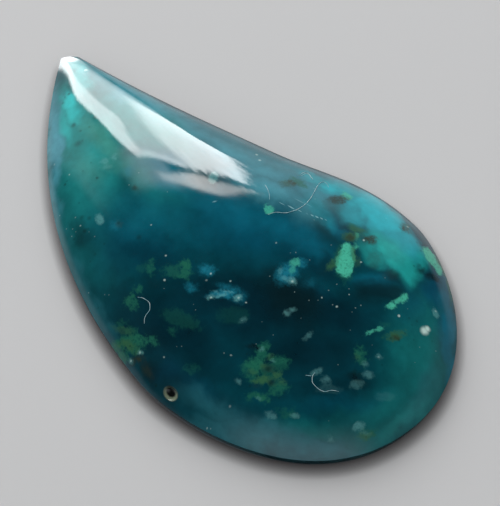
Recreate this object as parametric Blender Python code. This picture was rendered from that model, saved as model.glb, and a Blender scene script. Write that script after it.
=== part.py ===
"""A polished free-form cabochon of chrysocolla in chalcedony, modelled as one solid.

The stone is a teardrop in plan, with a hooked, narrow tip at -X and a broad round end at +X. Its back
is flat and lies on Z = 0. A thin upright girdle runs round it and is rounded off underneath. Above it
rises a low dome, which meets the girdle at a crisp edge and whose crest runs down to the tip. One small
open pit is left in the polish near the lower edge.

Sizes in this file are millimetres, turned into metres where the mesh is made. The origin is the
centre of the flat back's side of the bounding box: +X points to the round end, and +Z points up.
"""

import math

import bmesh
import bpy
import numpy as np
from mathutils import Matrix, Vector

MM = 0.001

# Driving dimensions, in millimetres.
HEIGHT = 5.2
GIRDLE_HEIGHT = 1.3
BACK_BEVEL = 0.25
TOP = (6.0, 0.0)
ROUNDING = 0.9
CROWN_SHARE = 0.595
CROWN_POWER = 2.13
EDGE_POWER = 7.4

# The pit: how far down the dome and how far along the outline it lies, both as shares.
PIT_DOWN = 0.942
PIT_ALONG = 0.6504
PIT_SIZE = (1.0, 0.62, 0.5)
PIT_TURN = 14.0
PIT_RISE = 0.06

# The plan outline: anchors of one closed smooth curve, anticlockwise seen from below.
# Each is x, y, the direction of travel in degrees, and the handle lengths before and after it.
OUTLINE = [
    (-18.13, 1.52, 16.5, 0.2, 6.8),
    (-2.3, 7.2, 21.5, 6.5, 3.9),
    (8.7, 10.8, 0.0, 4.9, 2.8),
    (19.1, 0.8, -90.0, 6.8, 9.0),
    (5.6, -10.9, 180.0, 3.0, 11.6),
    (-18.85, 0.39, 131.0, 7.9, 0.2),
]

# Mesh density.
AROUND = 144
FINE_AROUND = 1440
UP_THE_DOME = 20
UNDER_THE_GIRDLE = 4
TURN_WEIGHT = 1.5
PIT_SEGMENTS = 14


def direction(degrees):
    """The unit vector in the XY plane at that angle."""
    angle = math.radians(degrees)
    return np.array([math.cos(angle), math.sin(angle)])


def bezier(start, end, steps):
    """Points of the cubic curve from one outline anchor towards the next, without its last point."""
    p0 = np.array(start[:2])
    p3 = np.array(end[:2])
    p1 = p0 + direction(start[2]) * start[4]
    p2 = p3 - direction(end[2]) * end[3]
    t = np.linspace(0.0, 1.0, steps, endpoint=False)[:, None]
    return (1 - t) ** 3 * p0 + 3 * (1 - t) ** 2 * t * p1 + 3 * (1 - t) * t**2 * p2 + t**3 * p3


def outline_points(count):
    """The plan outline as count points, centred on the origin and closer together where it turns."""
    fine = np.vstack([bezier(a, b, 400) for a, b in zip(OUTLINE, OUTLINE[1:] + OUTLINE[:1])])
    fine -= (fine.min(axis=0) + fine.max(axis=0)) / 2
    run = np.roll(fine, -1, axis=0) - fine
    heading = np.arctan2(run[:, 1], run[:, 0])
    turn = np.abs((np.roll(heading, -1) - heading + math.pi) % (2 * math.pi) - math.pi)
    travelled = np.concatenate([[0.0], np.cumsum(np.hypot(*run.T) + TURN_WEIGHT * turn)])
    closed = np.vstack([fine, fine[:1]])
    wanted = np.linspace(0.0, travelled[-1], count, endpoint=False)
    return np.column_stack([np.interp(wanted, travelled, closed[:, axis]) for axis in (0, 1)])


def dome_ring(outline, share):
    """One level curve of the dome: share is 1 at the girdle and 0 at the top.

    Low down the curve follows the outline. The nearer it is to the top, the more of the outline's finer
    bends are faded out of it, so that it ends as a plain oval and the crest has no crease.
    """
    reach = outline @ (1, 1j) - complex(*TOP)
    bends = np.fft.fftfreq(len(outline), 1 / len(outline))
    blur = ROUNDING * (1 - share)
    fade = np.exp(-np.maximum(bends**2 - 1, 0) * blur**2 / 2)
    curve = np.fft.ifft(np.fft.fft(reach) * fade) * share + complex(*TOP)
    fall = CROWN_SHARE * share**CROWN_POWER + (1 - CROWN_SHARE) * share**EDGE_POWER
    height = HEIGHT - (HEIGHT - GIRDLE_HEIGHT) * fall
    return np.column_stack([curve.real, curve.imag, np.full(len(curve), height)])


def under_ring(outline, share):
    """One ring of the rounded underside: share is 1 at the girdle and 0 at the flat back's edge."""
    along = np.roll(outline, -1, axis=0) - np.roll(outline, 1, axis=0)
    along /= np.hypot(*along.T)[:, None]
    inwards = np.column_stack([along[:, 1], -along[:, 0]])
    inset = BACK_BEVEL * (1 - math.sqrt(1 - (1 - share) ** 2))
    height = GIRDLE_HEIGHT * share
    return np.column_stack([outline + inset * inwards, np.full(len(outline), height)])


def stone_rings():
    """The stone's level curves, from the flat back's edge over the girdle to just below the top."""
    outline = outline_points(AROUND)
    under = [under_ring(outline, step / UNDER_THE_GIRDLE) for step in range(UNDER_THE_GIRDLE)]
    shares = [math.cos(math.pi / 2 * step / UP_THE_DOME) for step in range(UP_THE_DOME)]
    return under + [dome_ring(outline, share) for share in shares]


def build_stone():
    """The stone as one closed mesh object."""
    mesh = bpy.data.meshes.new("cabochon")
    bm = bmesh.new()
    rings = [[bm.verts.new(Vector(point) * MM) for point in ring] for ring in stone_rings()]
    for low, high in zip(rings, rings[1:]):
        for i in range(AROUND):
            j = (i + 1) % AROUND
            bm.faces.new((low[i], low[j], high[j], high[i]))
    bm.faces.new(rings[0])
    top = bm.verts.new(Vector((*TOP, HEIGHT)) * MM)
    for i in range(AROUND):
        bm.faces.new((rings[-1][i], rings[-1][(i + 1) % AROUND], top))
    bmesh.ops.recalc_face_normals(bm, faces=bm.faces)
    bm.to_mesh(mesh)
    bm.free()
    mesh.shade_smooth()
    mesh.set_sharp_from_angle(angle=math.radians(25))
    stone = bpy.data.objects.new("cabochon", mesh)
    bpy.context.collection.objects.link(stone)
    return stone


def cut_pit(stone):
    """Cuts the small oval pit, with an ellipsoid whose middle lies just above the dome."""
    level = dome_ring(outline_points(FINE_AROUND), PIT_DOWN)
    centre = Vector(level[round(PIT_ALONG * FINE_AROUND)]) + Vector((0.0, 0.0, PIT_RISE))
    place = Matrix.Translation(centre * MM)
    turn = Matrix.Rotation(math.radians(PIT_TURN), 4, "Z")
    size = Matrix.Diagonal((*(Vector(PIT_SIZE) * MM / 2), 1.0))
    mesh = bpy.data.meshes.new("pit_cutter")
    bm = bmesh.new()
    bmesh.ops.create_uvsphere(
        bm, u_segments=PIT_SEGMENTS, v_segments=PIT_SEGMENTS // 2, radius=1.0, matrix=place @ turn @ size
    )
    bm.to_mesh(mesh)
    bm.free()
    cutter = bpy.data.objects.new("pit_cutter", mesh)
    bpy.context.collection.objects.link(cutter)
    cutter.hide_render = True
    cutter.display_type = "WIRE"
    cut = stone.modifiers.new("pit", "BOOLEAN")
    cut.operation = "DIFFERENCE"
    cut.solver = "EXACT"
    cut.object = cutter


def stone_material():
    """Polished blue-green chalcedony."""
    material = bpy.data.materials.new("chrysocolla")
    material.use_nodes = True
    shader = material.node_tree.nodes["Principled BSDF"]
    shader.inputs["Base Color"].default_value = (0.012, 0.13, 0.16, 1.0)
    shader.inputs["Roughness"].default_value = 0.08
    shader.inputs["Metallic"].default_value = 0.0
    shader.inputs["IOR"].default_value = 1.54
    return material


def main():
    for item in list(bpy.data.objects):
        bpy.data.objects.remove(item, do_unlink=True)
    stone = build_stone()
    stone.data.materials.append(stone_material())
    cut_pit(stone)


main()
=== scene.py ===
"""The looks of a polished teardrop cabochon of chrysocolla in chalcedony.

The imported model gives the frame. The stone is built again here as one fine, smooth mesh of the same
form, with its inclusions as procedural colour in the stone, its open pit as real relief, and the lint
fibres that lie on the polish as thin mesh tubes. Shapes are worked out in millimetres and turned into
metres where a mesh is made.
"""

import math

import bmesh
import bpy
import numpy as np
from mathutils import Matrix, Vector, noise


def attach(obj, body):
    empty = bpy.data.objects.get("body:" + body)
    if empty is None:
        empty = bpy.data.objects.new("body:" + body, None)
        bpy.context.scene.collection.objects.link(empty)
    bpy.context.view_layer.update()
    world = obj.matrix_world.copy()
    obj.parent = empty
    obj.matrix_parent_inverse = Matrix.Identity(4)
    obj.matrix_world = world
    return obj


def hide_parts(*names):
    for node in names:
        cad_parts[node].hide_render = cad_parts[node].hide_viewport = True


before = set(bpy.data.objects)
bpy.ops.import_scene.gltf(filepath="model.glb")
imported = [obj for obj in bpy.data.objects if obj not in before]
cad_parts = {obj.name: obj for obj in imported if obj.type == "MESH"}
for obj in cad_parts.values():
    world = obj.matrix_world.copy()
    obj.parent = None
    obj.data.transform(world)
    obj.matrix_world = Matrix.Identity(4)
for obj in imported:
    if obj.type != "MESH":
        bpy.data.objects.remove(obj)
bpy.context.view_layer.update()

MM = 0.001

# ----------------------------------------------------------------------------- form of the stone

HEIGHT = 5.2
GIRDLE_HEIGHT = 1.3
BACK_BEVEL = 0.25
TOP = (6.0, 0.0)
ROUNDING = 0.9
CROWN_SHARE = 0.595
CROWN_POWER = 2.13
EDGE_POWER = 7.4

# The pit: how far down the dome and how far along the outline it lies, both as shares.
PIT_DOWN = 0.942
PIT_ALONG = 0.6504
PIT_LENGTH = 1.0
PIT_WIDTH = 0.62
PIT_DEPTH = 0.24
PIT_TURN = 14.0
# How far the pit's dark bowl, which is painted shade, is set off from the middle of its pale rim.
PIT_SHADE = (0.1, -0.1, 0.0)
# How the mesh is refined round the pit: cuts through each edge, and how many times the rim's reach.
PIT_REFINING = [(1, 3.4), (2, 2.0)]

# Anchors of the plan outline: x, y, direction of travel in degrees, handle before and after.
OUTLINE = [
    (-18.13, 1.52, 16.5, 0.2, 6.8),
    (-2.3, 7.2, 21.5, 6.5, 3.9),
    (8.7, 10.8, 0.0, 4.9, 2.8),
    (19.1, 0.8, -90.0, 6.8, 9.0),
    (5.6, -10.9, 180.0, 3.0, 11.6),
    (-18.85, 0.39, 131.0, 7.9, 0.2),
]

# Mesh density, and how much of the solid's height and width the mesh takes up.
AROUND = 620
UP_THE_DOME = 118
UNDER_THE_GIRDLE = 10
ACROSS_THE_BACK = 10
TURN_WEIGHT = 1.5
INSIDE_THE_BOX = 0.9996

# Which of the noise's patterns bends the edges of the zones and inclusions. Left unset, it changes with
# each run.
CLOUD_SEED = 8

# Lint fibres and fine scratches, in millimetres. A fibre sinks a little into the polish that it lies on,
# and its ends are this share of its full radius.
FIBRE_RADIUS = 0.019
FIBRE_LIFT = 0.9
FIBRE_END = 0.45
FIBRE_SIDES = 6
FIBRE_STEPS = 60
SCRATCH_WIDTH = 0.1
SCRATCH_STRENGTH = 0.5


def direction(degrees):
    """The unit vector in the XY plane at that angle."""
    angle = math.radians(degrees)
    return np.array([math.cos(angle), math.sin(angle)])


def bezier(start, end, steps):
    """Points of the cubic curve from one outline anchor towards the next, without its last point."""
    p0 = np.array(start[:2])
    p3 = np.array(end[:2])
    p1 = p0 + direction(start[2]) * start[4]
    p2 = p3 - direction(end[2]) * end[3]
    t = np.linspace(0.0, 1.0, steps, endpoint=False)[:, None]
    return (1 - t) ** 3 * p0 + 3 * (1 - t) ** 2 * t * p1 + 3 * (1 - t) * t**2 * p2 + t**3 * p3


def outline_points(count):
    """The plan outline as count points, centred on the origin and closer together where it turns."""
    fine = np.vstack([bezier(a, b, 400) for a, b in zip(OUTLINE, OUTLINE[1:] + OUTLINE[:1])])
    fine -= (fine.min(axis=0) + fine.max(axis=0)) / 2
    run = np.roll(fine, -1, axis=0) - fine
    heading = np.arctan2(run[:, 1], run[:, 0])
    turn = np.abs((np.roll(heading, -1) - heading + math.pi) % (2 * math.pi) - math.pi)
    travelled = np.concatenate([[0.0], np.cumsum(np.hypot(*run.T) + TURN_WEIGHT * turn)])
    closed = np.vstack([fine, fine[:1]])
    wanted = np.linspace(0.0, travelled[-1], count, endpoint=False)
    points = [np.interp(wanted, travelled, closed[:, axis]) for axis in (0, 1)]
    return np.column_stack(points) * INSIDE_THE_BOX


def dome_ring(outline, share):
    """One level curve of the dome: share is 1 at the girdle and 0 at the top.

    The nearer it is to the top, the more of the outline's finer bends are faded out of it.
    """
    reach = outline @ (1, 1j) - complex(*TOP)
    bends = np.fft.fftfreq(len(outline), 1 / len(outline))
    blur = ROUNDING * (1 - share)
    fade = np.exp(-np.maximum(bends**2 - 1, 0) * blur**2 / 2)
    curve = np.fft.ifft(np.fft.fft(reach) * fade) * share + complex(*TOP)
    fall = CROWN_SHARE * share**CROWN_POWER + (1 - CROWN_SHARE) * share**EDGE_POWER
    height = HEIGHT - (HEIGHT - GIRDLE_HEIGHT) * fall
    return np.column_stack([curve.real, curve.imag, np.full(len(curve), height)])


def under_ring(outline, share):
    """One ring of the rounded underside: share is 1 at the girdle and 0 at the flat back's edge."""
    along = np.roll(outline, -1, axis=0) - np.roll(outline, 1, axis=0)
    along /= np.hypot(*along.T)[:, None]
    inwards = np.column_stack([along[:, 1], -along[:, 0]])
    inset = BACK_BEVEL * (1 - math.sqrt(1 - (1 - share) ** 2))
    return np.column_stack([outline + inset * inwards, np.full(len(outline), GIRDLE_HEIGHT * share)])


def back_ring(edge, share):
    """One ring of the flat back: share is 1 at its edge and 0 under the top."""
    flat = TOP + share * (edge[:, :2] - TOP)
    return np.column_stack([flat, np.zeros(len(flat))])


def stone_rings():
    """The stone's rings, from the middle of the back out to its edge, and over the girdle to the top."""
    outline = outline_points(AROUND)
    edge = under_ring(outline, 0.0)
    back = [back_ring(edge, step / ACROSS_THE_BACK) for step in range(1, ACROSS_THE_BACK)]
    under = [under_ring(outline, step / UNDER_THE_GIRDLE) for step in range(UNDER_THE_GIRDLE)]
    shares = [math.cos(math.pi / 2 * step / UP_THE_DOME) for step in range(UP_THE_DOME)]
    return back + under + [dome_ring(outline, share) for share in shares]


# A close grid of points on the dome, which gives its height where a fibre lies, and the pit as a mark.
FINE_AROUND = 1440
FINE_UP = 160
TINY = 1e-6
FINE_OUTLINE = outline_points(FINE_AROUND)
DOME_GRID = np.array(
    [dome_ring(FINE_OUTLINE, math.cos(math.pi / 2 * step / FINE_UP)) for step in range(FINE_UP)]
)
PIT_CENTRE = dome_ring(FINE_OUTLINE, PIT_DOWN)[round(PIT_ALONG * FINE_AROUND)][:2]
PIT = (*PIT_CENTRE, PIT_LENGTH, PIT_WIDTH, PIT_TURN, 1)


def dome_height(x, y):
    """The dome's height above one point of the plan, from the nearest points of its level curves."""
    apart = np.hypot(DOME_GRID[..., 0] - x, DOME_GRID[..., 1] - y).ravel()
    nearest = np.argpartition(apart, 4)[:4]
    weights = 1 / (apart[nearest] + TINY)
    return float(DOME_GRID[..., 2].ravel()[nearest] @ weights / weights.sum())


def reach_of(points, mark):
    """How far out of an oval mark each point lies: 0 at its middle and 1 at its edge."""
    x, y, length, width, turn, _ = mark
    along = direction(turn)
    across = np.array([-along[1], along[0]])
    away_from = points[:, :2] - (x, y)
    return np.hypot(away_from @ along / (length / 2), away_from @ across / (width / 2))


def sink_pit(bm):
    """Refines the mesh round the pit and presses the pit's bowl into it."""
    for cuts, reach in PIT_REFINING:
        centres = np.array([face.calc_center_median() for face in bm.faces]) / MM
        near = (reach_of(centres, PIT) < reach) & (centres[:, 2] > GIRDLE_HEIGHT)
        bm.faces.ensure_lookup_table()
        edges = {edge for i in np.flatnonzero(near) for edge in bm.faces[int(i)].edges}
        edges = sorted(edges, key=lambda edge: edge.index)
        bmesh.ops.subdivide_edges(bm, edges=edges, cuts=cuts, use_grid_fill=True)
        bm.edges.index_update()
    places = np.array([vert.co for vert in bm.verts]) / MM
    rim = reach_of(places, PIT)
    bm.verts.ensure_lookup_table()
    bm.normal_update()
    for i in np.flatnonzero((rim < 1.0) & (places[:, 2] > GIRDLE_HEIGHT)):
        vert = bm.verts[int(i)]
        vert.co -= vert.normal * MM * PIT_DEPTH * (1 - rim[i] ** 2) ** 0.6


def mesh_object(name, bm):
    """Turns the bmesh into a smooth object of that name in the scene."""
    mesh = bpy.data.meshes.new(name)
    bm.to_mesh(mesh)
    bm.free()
    mesh.shade_smooth()
    item = bpy.data.objects.new(name, mesh)
    bpy.context.collection.objects.link(item)
    return item


def build_stone():
    """The stone as one fine closed mesh."""
    rings = stone_rings()
    bm = bmesh.new()
    rows = [[bm.verts.new(Vector(point) * MM) for point in ring] for ring in rings]
    middle = bm.verts.new(Vector((*TOP, 0.0)) * MM)
    top = bm.verts.new(Vector((*TOP, HEIGHT)) * MM)
    for i in range(AROUND):
        j = (i + 1) % AROUND
        bm.faces.new((rows[0][j], rows[0][i], middle))
        bm.faces.new((rows[-1][i], rows[-1][j], top))
        for low, high in zip(rows, rows[1:]):
            bm.faces.new((low[i], low[j], high[j], high[i]))
    bmesh.ops.recalc_face_normals(bm, faces=bm.faces)
    bm.edges.index_update()
    sink_pit(bm)
    stone = mesh_object("polished_stone", bm)
    stone.data.set_sharp_from_angle(angle=math.radians(25))
    return stone


# ----------------------------------------------------------------------------- node helpers


class Graph:
    """A small layer over a node tree: each method adds one node and gives its output socket."""

    def __init__(self, tree):
        self.tree = tree
        self.nodes = tree.nodes
        self.links = tree.links

    def feed(self, socket, value):
        """Links a socket or sets a plain value."""
        if isinstance(value, bpy.types.NodeSocket):
            self.links.new(value, socket)
        else:
            socket.default_value = value

    def math(self, operation, a, b=0.0):
        node = self.nodes.new("ShaderNodeMath")
        node.operation = operation
        self.feed(node.inputs[0], a)
        self.feed(node.inputs[1], b)
        return node.outputs[0]

    def plus(self, first, *others):
        """The sum of sockets and numbers."""
        for other in others:
            first = self.math("ADD", first, other)
        return first

    def times(self, first, *others):
        """The product of sockets and numbers."""
        for other in others:
            first = self.math("MULTIPLY", first, other)
        return first

    def vector(self, operation, a, b=(0.0, 0.0, 0.0), scale=1.0):
        node = self.nodes.new("ShaderNodeVectorMath")
        node.operation = operation
        self.feed(node.inputs[0], a)
        if operation == "SCALE":
            self.feed(node.inputs["Scale"], scale)
        else:
            self.feed(node.inputs[1], b)
        return node.outputs["Value" if operation in ("DISTANCE", "DOT_PRODUCT") else "Vector"]

    def noise(self, place, scale, detail=2.0, roughness=0.5, colour=False):
        node = self.nodes.new("ShaderNodeTexNoise")
        self.feed(node.inputs["Vector"], place)
        node.inputs["Scale"].default_value = scale
        node.inputs["Detail"].default_value = detail
        node.inputs["Roughness"].default_value = roughness
        return node.outputs["Color" if colour else "Fac"]

    def span(self, value, low, high, to_low=0.0, to_high=1.0, smooth=True):
        """Maps low to to_low and high to to_high, and holds those values outside."""
        node = self.nodes.new("ShaderNodeMapRange")
        node.interpolation_type = "SMOOTHSTEP" if smooth else "LINEAR"
        self.feed(node.inputs["Value"], value)
        node.inputs["From Min"].default_value = low
        node.inputs["From Max"].default_value = high
        node.inputs["To Min"].default_value = to_low
        node.inputs["To Max"].default_value = to_high
        return node.outputs["Result"]

    def curve(self, value, points, low=-1.0, high=1.5):
        """A smooth curve through points, each a value and its result; all lie from low to high."""
        node = self.nodes.new("ShaderNodeFloatCurve")
        line = node.mapping.curves[0]
        shares = [((x - low) / (high - low), (y - low) / (high - low)) for x, y in points]
        line.points[0].location, line.points[1].location = shares[0], shares[-1]
        for share in shares[1:-1]:
            line.points.new(*share)
        node.mapping.update()
        self.feed(node.inputs["Value"], self.span(value, low, high, smooth=False))
        return self.span(node.outputs["Value"], 0.0, 1.0, low, high, smooth=False)

    def fade(self, amount, a, b):
        """The value a where amount is 0 and b where it is 1."""
        node = self.nodes.new("ShaderNodeMix")
        node.data_type = "FLOAT"
        self.feed(node.inputs["Factor"], amount)
        self.feed(node.inputs[2], a)
        self.feed(node.inputs[3], b)
        return node.outputs[0]

    def mix(self, amount, a, b):
        """The colour a where amount is 0 and b where it is 1."""
        node = self.nodes.new("ShaderNodeMix")
        node.data_type = "RGBA"
        self.feed(node.inputs["Factor"], amount)
        self.feed(node.inputs[6], a)
        self.feed(node.inputs[7], b)
        return node.outputs[2]

    def warp(self, place, scale, amount, detail):
        """A place pushed about by noise, so that what is drawn there gets ragged edges."""
        push = self.noise(place, scale, detail=detail, colour=True)
        centred = self.vector("SUBTRACT", push, (0.5, 0.5, 0.5))
        return self.vector("ADD", place, self.vector("SCALE", centred, scale=amount))

    def place(self):
        """The place on the object, in millimetres."""
        coordinates = self.nodes.new("ShaderNodeTexCoord")
        return self.vector("SCALE", coordinates.outputs["Object"], scale=1 / MM)

    def attribute(self, name):
        """The first two channels of one of the mesh's own attributes."""
        node = self.nodes.new("ShaderNodeAttribute")
        node.attribute_name = name
        channels = self.nodes.new("ShaderNodeSeparateXYZ")
        self.feed(channels.inputs[0], node.outputs["Vector"])
        return channels.outputs[0], channels.outputs[1]

    def dots(self, place, marks, soft):
        """Several round specks as one mask: each is x, y, diameter and strength."""
        flat = self.vector("MULTIPLY", place, (1.0, 1.0, 0.0))
        mask = 0.0
        for x, y, across, strength in marks:
            reach = self.vector("DISTANCE", flat, (x, y, 0.0))
            speck = self.span(reach, across / 2 * (1 + soft), across / 2 * (1 - soft), 0.0, strength)
            mask = self.math("MAXIMUM", mask, speck)
        return mask


def new_material(name):
    """A new material, the graph of its nodes and its shader."""
    material = bpy.data.materials.new(name)
    material.use_nodes = True
    return material, Graph(material.node_tree), material.node_tree.nodes["Principled BSDF"]


# The light that a level surface of the stone gets, as a share of what would show its albedo unchanged.
LIT = 0.8


def tone(red, green, blue):
    """The albedo of stone that shows this 8-bit colour under the studio light."""
    shown = np.array([red, green, blue]) / 255
    linear = np.where(shown <= 0.04045, shown / 12.92, ((shown + 0.055) / 1.055) ** 2.4)
    return (*np.minimum(linear / LIT, 1.0).tolist(), 1.0)


# ----------------------------------------------------------------------------- marks in the stone
# Each oval mark is x, y, length, width, turn from +X in degrees, and strength, in millimetres. The broad
# zones overlap, and each kind is laid on top of the ones before it.

def line_mark(ends):
    """A scratch as a long thin oval mark."""
    (x0, y0), (x1, y1) = ends
    length = math.hypot(x1 - x0, y1 - y0)
    turn = math.degrees(math.atan2(y1 - y0, x1 - x0))
    return ((x0 + x1) / 2, (y0 + y1) / 2, length, SCRATCH_WIDTH, turn, SCRATCH_STRENGTH)


# Broad zones of the body, widest first: mostly the stone's colour, with painted reflection and glow in
# some.
# Green zones: the stone's own colour, and by the round end's edge also painted glow of light coming
# through the thin rim.
GREEN_AND_EDGE_GLOW_ZONES = [
    (-9.5, -4.6, 14.5, 5.6, -27, 1), (-5.7, -5.6, 9.2, 4.5, -10, 0.55), (-9.6, -1.5, 7.1, 4.1, -8, 0.6),
    (15.9, 3.8, 8.7, 3.9, -54, 1), (17.2, -0.1, 6.6, 3.0, 84, 0.8), (15.8, -4.2, 6.8, 1.1, 56, 0.65),
    (-2.4, -2.1, 7.8, 3.3, 22, 0.6),
]
SEA_ZONES = [
    (-10.5, -3.2, 8.7, 3.2, -22, 1), (-13.9, -2.0, 4.7, 1.6, -16, 0.9),
    (-10.5, -1.3, 4.5, 2.4, -6, 0.7), (-7.6, -4.9, 3.7, 1.8, -23, 0.35), (-9.8, 1.2, 9.6, 3.6, -3, 0.8),
    (18.3, 0.1, 3.7, 0.9, 87, 0.45), (-4.5, -1.8, 4.1, 2.6, 15, 0.45),
]
AQUA_ZONES = [
    (-14.33, -1.86, 2.65, 1.12, -11, 1), (-13.3, -3.1, 3.3, 0.9, -26, 0.5),
    (-16.0, 0.1, 3.9, 1.1, -15, 0.7),
]
SAGE_ZONES = [
    (-9.9, -2.1, 5.1, 1.4, -6, 0.75), (-7.54, -3.0, 1.99, 1.54, 76, 0.45),
    (-5.9, -2.4, 3.3, 1.6, 23, 0.5), (-5.6, -1.43, 1.37, 1.03, 6, 0.5),
    (-8.23, -4.44, 2.66, 1.17, -11, 0.3),
]
# Painted reflection: pale bands on the flanks and the left edge, where the polish mirrors the room's
# haze.
FLANK_REFLECTION_ZONES = [
    (-1.8, 4.5, 13.7, 2.6, 19, 0.8), (0.9, 3.3, 5.9, 2.2, 14, 0.8), (3.6, 6.0, 4.5, 2.2, 11, 0.65),
    (-11.7, 2.0, 9.0, 1.9, 11, 0.9), (5.9, 6.31, 2.68, 1.25, 18, 0.4), (2.9, 4.0, 5.0, 2.1, 4, 0.55),
    (-12.7, -4.6, 9.7, 1.0, -33, 1),
]
# Mostly painted reflection of the room along the edges, partly the stone's paler milky rim.
MILKY_RIM_AND_REFLECTION_ZONES = [
    (-9.9, -6.8, 4.9, 0.6, -30, 0.5), (-2.4, -9.3, 6.8, 0.9, -13, 0.6),
    (-7.2, -8.0, 4.7, 1.0, -24, 0.4), (0.98, -9.99, 2.66, 0.66, -4, 0.4),
    (0.3, 7.3, 11.6, 3.8, 12, 0.8), (-4.1, 5.1, 8.7, 2.6, 10, 0.9), (13.2, -7.7, 9.4, 1.2, 39, 0.8),
    (10.6, -8.5, 4.4, 1.1, 22, 0.6), (16.4, -5.0, 5.0, 0.8, 54, 0.7), (15.5, 6.9, 6.1, 0.8, -38, 0.3),
    (17.8, 2.2, 3.9, 0.9, -73, 0.3),
]
DEEP_ZONES = [
    (6.9, -3.2, 11.5, 4.2, 39, 0.9), (11.1, -2.3, 8.1, 3.8, 51, 0.8), (5.1, -7.5, 8.2, 4.1, 12, 0.85),
    (6.4, -9.5, 4.7, 1.8, 10, 0.6), (-0.1, -5.5, 6.5, 2.8, 13, 0.5), (10.6, 0.7, 6.9, 2.5, 40, 0.85),
    (7.0, 2.4, 3.6, 3.0, 6, 0.7), (8.5, -7.0, 3.8, 2.9, 38, 0.5), (7.8, -4.4, 5.0, 2.8, 46, 0.8),
    (5.3, -5.6, 6.4, 2.5, 45, 0.75), (13.9, -2.2, 6.3, 1.5, 59, 0.55),
]
BLUE_ZONES = [
    (-1.6, -5.9, 5.9, 2.6, 20, 0.7), (1.6, -0.5, 8.8, 3.7, 25, 0.75), (5.1, 2.1, 5.5, 2.6, 3, 0.6),
    (13.1, 8.3, 3.4, 2.1, -50, 1), (15.1, 7.1, 3.6, 1.1, -44, 0.7), (13.2, 5.7, 3.1, 1.8, -42, 0.5),
    (6.76, -9.47, 2.32, 0.73, 31, 0.8), (8.5, -8.7, 3.9, 1.1, 18, 0.5),
    (15.3, -2.0, 3.8, 0.9, 66, 0.45), (8.7, 0.6, 3.2, 1.1, 29, 0.35),
]
LAKE_ZONES = [
    (-2.7, -4.3, 6.1, 2.8, 20, 0.4), (0.4, 0.5, 6.2, 2.1, 21, 0.6), (-4.0, -1.1, 4.4, 2.3, 20, 0.8),
    (2.9, 1.6, 4.4, 1.5, 17, 0.6), (6.2, 2.9, 4.2, 2.0, 16, 0.65), (6.27, 5.33, 2.27, 1.34, 14, 0.6),
    (15.7, 7.0, 6.9, 0.8, -41, 0.8), (10.47, 4.5, 2.27, 1.02, 59, 0.6),
]
TURQUOISE_ZONES = [
    (3.77, 7.38, 2.1, 1.44, 11, 0.95), (4.6, 8.0, 4.2, 2.1, 15, 0.75), (6.0, 8.6, 3.4, 2.6, -31, 1),
    (7.5, 8.7, 3.5, 2.7, -29, 1), (5.57, 7.56, 1.95, 1.65, -30, 0.7), (2.23, 7.02, 2.85, 1.21, 15, 0.5),
    (9.43, 8.51, 2.98, 1.93, -27, 0.7), (4.91, 5.12, 2.56, 1.3, 0, 0.3),
    (6.69, 6.77, 2.26, 1.27, 19, 0.5),
]
JADE_ZONES = [
    (9.61, 7.16, 1.67, 1.59, 22, 1), (10.32, 7.14, 2.26, 1.85, -14, 1),
    (11.13, 7.21, 1.85, 1.56, -48, 0.95), (11.6, 7.13, 1.03, 0.75, 77, 0.4),
    (9.04, 6.96, 1.55, 1.4, 14, 0.6), (10.84, 8.5, 1.72, 1.19, -60, 0.6),
    (9.17, 6.09, 1.68, 1.49, 13, 0.6),
]
DARK_ZONES = [
    (8.2, -0.9, 3.7, 3.0, 25, 0.95), (6.84, -1.07, 2.01, 1.6, -2, 0.5),
    (11.17, 4.12, 2.76, 1.64, 72, 0.75), (11.73, 4.85, 1.79, 1.26, 69, 0.7),
    (11.0, 5.73, 1.21, 0.9, 61, 0.45), (6.32, 6.01, 1.61, 1.04, 13, 0.4),
    (7.12, 6.18, 1.71, 0.78, 39, 0.55), (6.61, 4.12, 2.28, 1.4, 7, 0.45),
    (7.9, 2.78, 1.94, 1.04, -44, 0.5), (11.41, 8.02, 0.71, 0.51, 67, 0.75),
    (12.16, 8.6, 1.07, 0.69, 54, 0.85), (14.61, -0.54, 0.94, 0.55, 46, 0.85),
    (1.49, -6.53, 1.55, 0.88, 20, 0.4), (5.43, -10.09, 1.41, 0.73, -4, 0.6),
    (9.35, -4.6, 1.23, 0.32, 73, 0.8), (-4.9, -7.49, 2.04, 0.91, -17, 0.5),
    (8.21, -0.74, 2.7, 1.29, -23, 0.3),
]
# Solid inclusions.
MINT_PATCHES = [
    (8.63, 3.78, 2.03, 1.12, -42, 1), (9.04, 3.33, 0.97, 0.82, 52, 1), (7.94, 4.51, 0.96, 0.77, -59, 1),
    (8.43, 4.41, 1.51, 0.6, -36, 0.8), (8.1, 5.17, 0.41, 0.32, -60, 0.8),
    (7.63, 5.75, 0.59, 0.26, -52, 0.6), (2.47, 2.48, 0.7, 0.66, -62, 0.75),
    (11.17, 9.55, 1.67, 0.94, -33, 1), (12.07, 9.37, 1.09, 0.6, -54, 0.95),
    (12.66, 4.16, 0.72, 0.45, 83, 0.95), (12.74, 5.28, 0.7, 0.44, -69, 0.95),
    (12.68, 4.78, 0.75, 0.32, 88, 0.8), (13.25, 1.86, 0.6, 0.31, 74, 0.7),
    (13.4, 2.42, 0.68, 0.25, 77, 0.65), (6.72, 1.06, 0.73, 0.58, -54, 0.6),
    (7.01, 0.68, 0.58, 0.39, -42, 0.4), (4.55, 7.77, 0.74, 0.69, 19, 0.8),
]
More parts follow.
